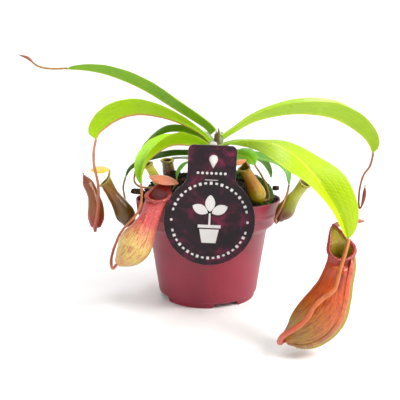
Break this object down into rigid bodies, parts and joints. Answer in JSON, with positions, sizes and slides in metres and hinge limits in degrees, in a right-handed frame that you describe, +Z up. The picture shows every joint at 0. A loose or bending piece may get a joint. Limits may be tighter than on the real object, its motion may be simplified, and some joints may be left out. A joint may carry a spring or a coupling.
{
  "type": "potted pitcher plant",
  "caption": "Tropical pitcher plant in a round plastic nursery pot, with arched leaves that end in hanging pitchers, and a round card tag on a stake.",
  "frame": {"origin": "middle of the pot's underside, on the plane that the pot stands on", "axes": "+Z up, -Y the side that the card tag faces, +X to the right when facing the tag"},
  "size_m": [0.3043, 0.2395, 0.1995],
  "materials": {
    "pot_plastic": "satin moulded raspberry plastic",
    "soil": "rough dark peat mix",
    "moss": "rough green moss",
    "bark": "rough bark chips",
    "stem": "matt brown green stem",
    "leaf": "glossy yellow-green leaf",
    "tendril": "satin red-brown tendril",
    "pitcher": "satin orange-red to olive pitcher",
    "lid": "satin salmon lid",
    "tag_card": "satin dark burgundy coated card",
    "stake_plastic": "satin white plastic"
  },
  "bodies": {
    "root": {"bark_1": "bark", "bark_2": "bark", "bark_3": "bark", "bark_4": "bark", "bark_5": "bark", "leaf_back": "leaf", "leaf_back_left": "leaf", "leaf_back_right": "leaf", "leaf_far_left": "leaf", "leaf_far_right": "leaf", "leaf_front_left": "leaf", "leaf_front_right": "leaf", "leaf_left": "leaf", "leaf_low_front": "leaf", "leaf_low_right": "leaf", "leaf_mid_left": "leaf", "leaf_right": "leaf", "leaf_small_left": "leaf", "lid_back": "lid", "lid_back_left": "lid", "lid_front_left": "lid", "lid_front_right": "lid", "lid_low_right": "lid", "lid_right": "lid", "moss": "moss", "pitcher_back": "pitcher", "pitcher_back_left": "pitcher", "pitcher_far_left": "pitcher", "pitcher_far_right": "pitcher", "pitcher_front_left": "pitcher", "pitcher_front_right": "pitcher", "pitcher_left": "pitcher", "pitcher_low_right": "pitcher", "pitcher_mid_left": "pitcher", "pitcher_right": "pitcher", "pitcher_small_left": "pitcher", "pot": "pot_plastic", "soil": "soil", "stem": "stem", "tag": "tag_card", "tag_stake": "stake_plastic", "tendril_back": "tendril", "tendril_back_left": "tendril", "tendril_far_left": "tendril", "tendril_far_right": "tendril", "tendril_front_left": "tendril", "tendril_front_right": "tendril", "tendril_left": "tendril", "tendril_low_front": "tendril", "tendril_low_right": "tendril", "tendril_mid_left": "tendril", "tendril_right": "tendril", "tendril_small_left": "tendril"}
  },
  "joints": []
}
